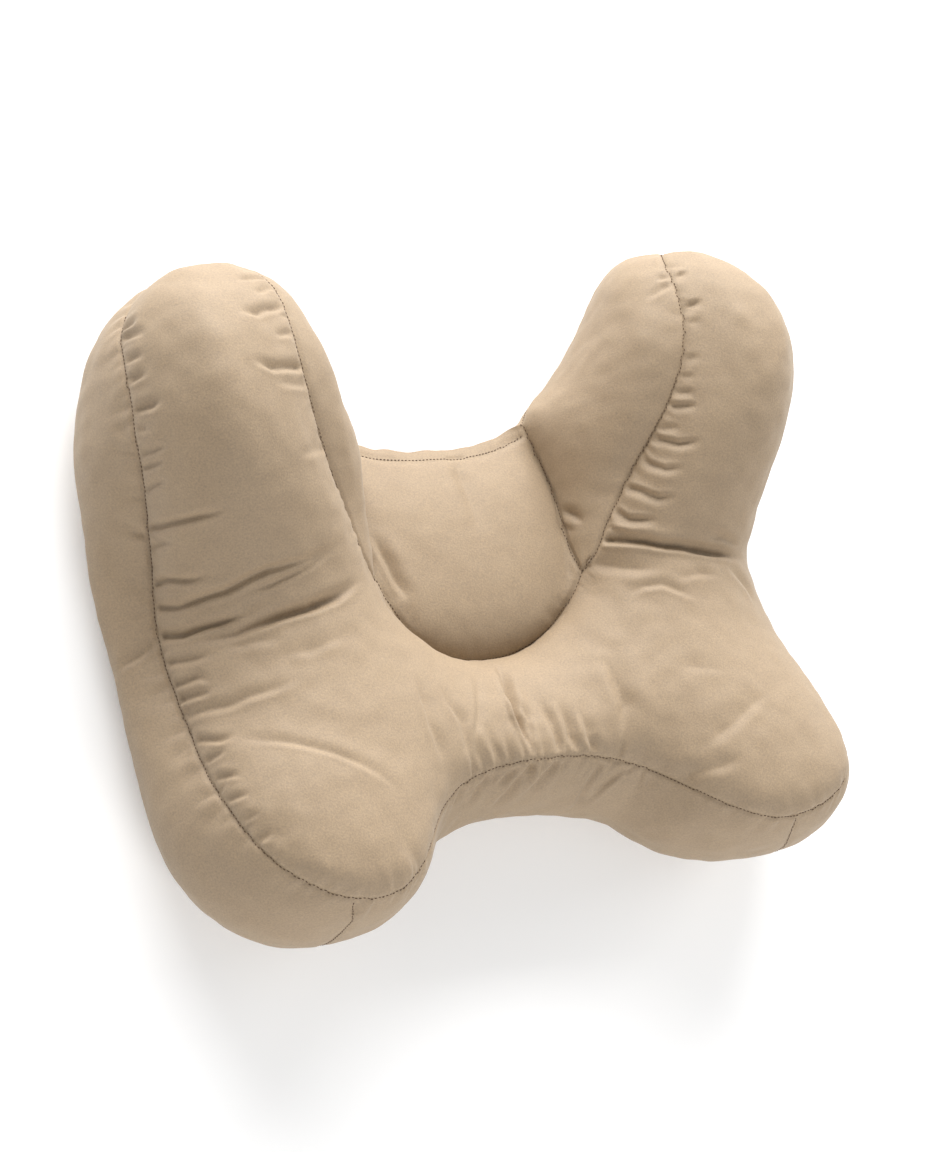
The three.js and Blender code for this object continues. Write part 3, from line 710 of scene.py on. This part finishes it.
pucker_reach = 2.3  # its lengths and widths past which it isn't felt
pucker_spread = 8
luck = random.Random(7)


def gather(line, rows):
    """Draws rows of puckers into the cloth beside a line."""
    for row in rows:
        start = line.place_by(*row["start"])
        reach = line.way(start, line.place_by(*row["end"]))
        number = max(1, round(abs(reach) / (row["pitch"] * MM)))
        beside = vert_panel == row["side"]
        for count in range(number):
            middle = start + reach * (count + luck.uniform(*pucker_place)) / number
            strength = weakest_pucker + pucker_luck * luck.random() ** 2
            length = row["length"] * MM * (shortest_pucker + pucker_growth * strength)
            width = row["pitch"] * MM * pucker_width * luck.uniform(*pucker_widths)
            lean = luck.uniform(-pucker_lean, pucker_lean)
            across = line.way(middle, line.place) - lean * line.distance
            here = np.searchsorted(line.places, middle % line.total) % len(line.points)
            across = across * np.sign(line.along[here] @ soft_way)
            near = beside & (line.distance < pucker_reach * length)
            near &= np.abs(across) < pucker_spread * width
            away = line.distance[near]
            fade = (1 - np.exp(-away / pucker_take_up)) * np.exp(-(away / length) ** 2)
            section = fold(across[near] / (width * (1 + pucker_flare * away / length)))
            rise[near] += row["depth"] * MM * strength * section * fade


gather(front_line, front_puckers)

# The filling is lumpy under the cloth, and the cloth itself is a little crumpled, less so on the cradle.
lump_size = 38 * MM
lump_height = 0.8 * MM
crumple_size = 13 * MM
crumple_height = 0.75 * MM
cradle_crumple = 0.4 * MM
crumple = np.where(vert_panel == CRADLE, cradle_crumple, crumple_height)
for size, height in ((lump_size, lump_height), (crumple_size, crumple)):
    rise += height * np.array([noise.noise(Vector(point) / size) for point in rest])

# Each seam draws the cloth into a narrow groove. The boxing is joined end to end on the tips of the lobes,
# and the cradle is top-stitched a little way in from its thin top edge, which waves.
groove_depth = 1.5 * MM
groove_width = 1.8 * MM
hem_width = 7 * MM
hem_shift = np.array((0, -hem_width, hem_width))  # from the top edge of the cradle to its stitches
hem_wave = 2.5 * MM
hem_wave_size = 16 * MM
stitch_trim = 4  # points at each end, which are left out
boxing_joints = [
    on_cloth(((-171, -202, 124), (-167, -212, 108), (-167, -219, 91), (-167, -219, 50), (-167, -214, 14))),
    on_cloth(((179, -201, 124), (183, -212, 110), (199, -223, 75), (204, -222, 45), (206, -214, 14))),
]
top_stitch = np.array([skin.find_nearest(point + hem_shift)[0] for point in rest[cradle_edge]])
sewn_lines = [front_line, back_line]
sewn_lines += [Line(rest[side]) for side in cradle_sides]
sewn_lines += [Line(joint) for joint in boxing_joints]
sewn_lines += [Line(top_stitch[stitch_trim:-stitch_trim])]
groove = np.zeros(len(rest))
for line in sewn_lines:
    inside = (line.place > -groove_width) & (line.place < line.total + groove_width)
    groove = np.maximum(groove, inside * np.exp(-(line.distance / groove_width) ** 2))
rise -= groove_depth * groove
wave = np.array([noise.noise(Vector((place / hem_wave_size, 0, 0))) for place in edge_line.place])
rise += hem_wave * wave * np.exp(-(edge_line.distance / hem_width) ** 2)

dressed = rest + outward * rise[:, None]
dressed[:, 2] = np.maximum(dressed[:, 2], 0)
cloth.vertices.foreach_set("co", dressed.ravel())
cloth.update()
cloth.shade_smooth()
corner_reach = 14 * MM  # a seam is a sharp edge, but not where three panels meet
corners = [vert for side in cradle_sides for vert in (side[0], side[-1]) if vert in front_seam]
corner_tree = make_tree(dressed[corners])
seam_edges = np.flatnonzero(edge_low != edge_high)
is_sharp = np.zeros(len(edge_ends), bool)
seam_starts = dressed[edge_ends[seam_edges, 0]]
is_sharp[seam_edges] = [corner_tree.find(point)[2] > corner_reach for point in seam_starts]
sharp = cloth.attributes.new("sharp_edge", "BOOLEAN", "EDGE")
sharp.data.foreach_set("value", is_sharp)


def linear(code):
    """An sRGB hex colour as linear RGBA."""
    parts = [int(code[place:place + 2], 16) / 255 for place in (1, 3, 5)]
    parts = [part / 12.92 if part <= 0.04045 else ((part + 0.055) / 1.055) ** 2.4 for part in parts]
    return (*parts, 1.0)


def set_inputs(tree, node, inputs):
    """Links each of a node's inputs, by name or number, to a socket, or sets it to a value."""
    for name, value in inputs.items():
        if isinstance(value, bpy.types.NodeSocket):
            tree.links.new(value, node.inputs[name])
        else:
            node.inputs[name].default_value = value


def add_node(tree, kind, properties=None, inputs=None):
    """Adds a node with its properties and inputs."""
    node = tree.nodes.new(kind)
    for name, value in (properties or {}).items():
        setattr(node, name, value)
    set_inputs(tree, node, inputs or {})
    return node


def new_material(name, finish):
    """A material with this finish, which holds values for the shader's inputs."""
    material = bpy.data.materials.new(name)
    material.use_nodes = True
    set_inputs(material.node_tree, material.node_tree.nodes["Principled BSDF"], finish)
    return material


# Brushed cotton twill, dyed beige: the raised fibres blur the weave to a fine grain, catch the light along
# the edges as a pale bloom, and lie in slightly different directions, so the colour is softly mottled.
nap_light = "#927A59"
nap_dark = "#897151"
nap_size = 22 * MM
nap_detail = 3
grain_size = 1.2 * MM  # the real fibres are a tenth of this, too fine to show
grain_detail = 2
grain_range = (0.25, 0.75)  # the noise is seldom outside this
grain_shade = 0.2
grain_height = 0.25 * MM
grain_strength = 0.6
bloom_colour = "#FFFAF2"
# Cotton's IOR is about 1.55. It and the specular level are raised to match the broad soft highlights.
brushed_cloth = new_material("brushed_beige_cotton", {
    "Roughness": 0.8, "IOR": 1.7, "Specular IOR Level": 1.0,
    "Sheen Weight": 0.08, "Sheen Roughness": 0.5, "Sheen Tint": linear(bloom_colour)})
tree = brushed_cloth.node_tree
position = add_node(tree, "ShaderNodeTexCoord").outputs["Object"]
nap = add_node(tree, "ShaderNodeTexNoise", None, {
    "Vector": position, "Scale": 1 / nap_size, "Detail": nap_detail})
grain = add_node(tree, "ShaderNodeTexNoise", None, {
    "Vector": position, "Scale": 1 / grain_size, "Detail": grain_detail})
nap_colour = add_node(tree, "ShaderNodeMix", {"data_type": "RGBA"}, {
    "Factor": nap.outputs["Fac"], "A": linear(nap_dark), "B": linear(nap_light)})
grain_value = add_node(tree, "ShaderNodeMapRange", None, {
    "Value": grain.outputs["Fac"], "From Min": grain_range[0], "From Max": grain_range[1],
    "To Min": 1 - grain_shade, "To Max": 1 + grain_shade})
grained = add_node(tree, "ShaderNodeHueSaturation", None, {
    "Color": nap_colour.outputs[2], "Value": grain_value.outputs["Result"]})
relief = add_node(tree, "ShaderNodeBump", None, {
    "Height": grain.outputs["Fac"], "Distance": grain_height, "Strength": grain_strength})
set_inputs(tree, tree.nodes["Principled BSDF"], {
    "Base Color": grained.outputs["Color"], "Normal": relief.outputs["Normal"]})
cover.data.materials.clear()
cover.data.materials.append(brushed_cloth)
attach(cover, "root")
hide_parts("pillow")

# Stitches
# Brown sewing thread, a lockstitch along every seam of the cover. Each stitch lies in the groove, pulled a
# little into the cloth at both ends.
stitch_pitch = 2.8 * MM
stitch_length = 1.9 * MM
thread_width = 0.65 * MM
thread_lift = 0.25 * MM
stitch_sides = 6
stitch_rings = 4
# The thread's dark brown is partly painted shade: the shade of the narrow seam groove.
thread_colour_with_seam_shade = "#5B4632"

# Spun polyester thread, dyed brown: dull, and darker than the cloth, partly from its dye and partly as
# painted shade of the seam groove it lies in.
sewing_thread = new_material("brown_sewing_thread", {"Base Color": linear(thread_colour_with_seam_shade), "Roughness": 0.7})

path_points = []
path_edges = []
path_outward = []
skin = make_skin(cloth)
for line in sewn_lines:
    first = len(path_points)
    for point in line.points:
        spot, facing, _, _ = skin.find_nearest(point)
        path_points.append(spot + facing * thread_lift)
        path_outward.append(facing)
    path_edges += [(place, place + 1) for place in range(first, len(path_points) - 1)]
stitch_mesh = bpy.data.meshes.new("seam_stitches")
stitch_mesh.from_pydata(path_points, path_edges, [])
facing_values = stitch_mesh.attributes.new("outward", "FLOAT_VECTOR", "POINT")
facing_values.data.foreach_set("vector", np.array(path_outward).ravel())
stitches = add_object("seam_stitches", stitch_mesh)

sewing = bpy.data.node_groups.new("lockstitch", "GeometryNodeTree")
sewing.interface.new_socket("Seams", in_out="INPUT", socket_type="NodeSocketGeometry")
for name in ("Pitch", "Length", "Width"):
    sewing.interface.new_socket(name, in_out="INPUT", socket_type="NodeSocketFloat")
sewing.interface.new_socket("Stitches", in_out="OUTPUT", socket_type="NodeSocketGeometry")
given = add_node(sewing, "NodeGroupInput").outputs
seam_curve = add_node(sewing, "GeometryNodeMeshToCurve", None, {"Mesh": given["Seams"]})
spots = add_node(sewing, "GeometryNodeCurveToPoints", {"mode": "LENGTH"}, {
    "Curve": seam_curve.outputs["Curve"], "Length": given["Pitch"]})
off_cloth = add_node(sewing, "GeometryNodeInputNamedAttribute", {"data_type": "FLOAT_VECTOR"}, {
    "Name": "outward"})
along_seam = add_node(sewing, "FunctionNodeAlignRotationToVector", {"axis": "X"}, {
    "Vector": spots.outputs["Tangent"]})
upright = add_node(sewing, "FunctionNodeAlignRotationToVector", {"axis": "Z", "pivot_axis": "X"}, {
    "Rotation": along_seam.outputs["Rotation"], "Vector": off_cloth.outputs["Attribute"]})
stitch_size = add_node(sewing, "ShaderNodeCombineXYZ", None, {
    "X": given["Length"], "Y": given["Width"], "Z": given["Width"]})
stitch = add_node(sewing, "GeometryNodeMeshUVSphere", None, {
    "Segments": stitch_sides, "Rings": stitch_rings, "Radius": 0.5})
placed = add_node(sewing, "GeometryNodeInstanceOnPoints", None, {
    "Points": spots.outputs["Points"], "Instance": stitch.outputs["Mesh"],
    "Rotation": upright.outputs["Rotation"], "Scale": stitch_size.outputs["Vector"]})
real = add_node(sewing, "GeometryNodeRealizeInstances", None, {"Geometry": placed.outputs["Instances"]})
smooth = add_node(sewing, "GeometryNodeSetShadeSmooth", None, {"Geometry": real.outputs["Geometry"]})
threaded = add_node(sewing, "GeometryNodeSetMaterial", None, {
    "Geometry": smooth.outputs["Geometry"], "Material": sewing_thread})
add_node(sewing, "NodeGroupOutput", None, {"Stitches": threaded.outputs["Geometry"]})
sew = stitches.modifiers.new("sewing", "NODES")
sew.node_group = sewing
sizes = {"Pitch": stitch_pitch, "Length": stitch_length, "Width": thread_width}
for socket in sewing.interface.items_tree:
    if socket.in_out == "INPUT" and socket.name in sizes:
        sew[socket.identifier] = sizes[socket.name]
finish_modifiers(stitches)
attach(stitches, "root")

# Floor and light
# A white painted floor that glows a little and runs out of sight. A wide low lamp beyond the arms, a weaker
# one before the lobes, a small one on the right and a little white light from all round.
floor_half = 6  # metres
floor_white = "#F3F3F3"
pure_white = "#FFFFFF"
floor_glow = 0.12
light_all_round = 0.37
floor_corners = [(x * floor_half, y * floor_half, 0) for x, y in ((-1, -1), (1, -1), (1, 1), (-1, 1))]
floor_mesh = bpy.data.meshes.new("floor")
floor_mesh.from_pydata(floor_corners, [], [(0, 1, 2, 3)])
floor = add_object("floor", floor_mesh)
floor.data.materials.append(new_material("white_floor", {
    "Base Color": linear(floor_white), "Roughness": 0.8,
    "Emission Color": linear(pure_white), "Emission Strength": floor_glow}))

world = bpy.data.worlds.new("studio")
world.use_nodes = True
set_inputs(world.node_tree, world.node_tree.nodes["Background"], {
    "Color": linear(pure_white), "Strength": light_all_round})
bpy.context.scene.world = world
bpy.context.scene.view_settings.view_transform = "Standard"


def add_softbox(name, place, aim, width, height, power):
    """A rectangular lamp that shines at a point, in metres and watts."""
    data = bpy.data.lights.new(name, "AREA")
    data.shape = "RECTANGLE"
    data.size = width
    data.size_y = height
    data.energy = power
    light = add_object(name, data)
    light.location = place
    light.rotation_euler = (Vector(aim) - Vector(place)).to_track_quat("-Z", "Y").to_euler()


add_softbox("key", place=(0.35, 3.6, 1.7), aim=(0, 0, 0.05), width=4.4, height=2.0, power=365)
add_softbox("fill", place=(0, -3.3, 2.3), aim=(0, 0, 0.05), width=3.0, height=2.2, power=105)
add_softbox("side", place=(3.4, 0.8, 1.3), aim=(-0.1, 0.1, 0.08), width=2.0, height=1.6, power=45)
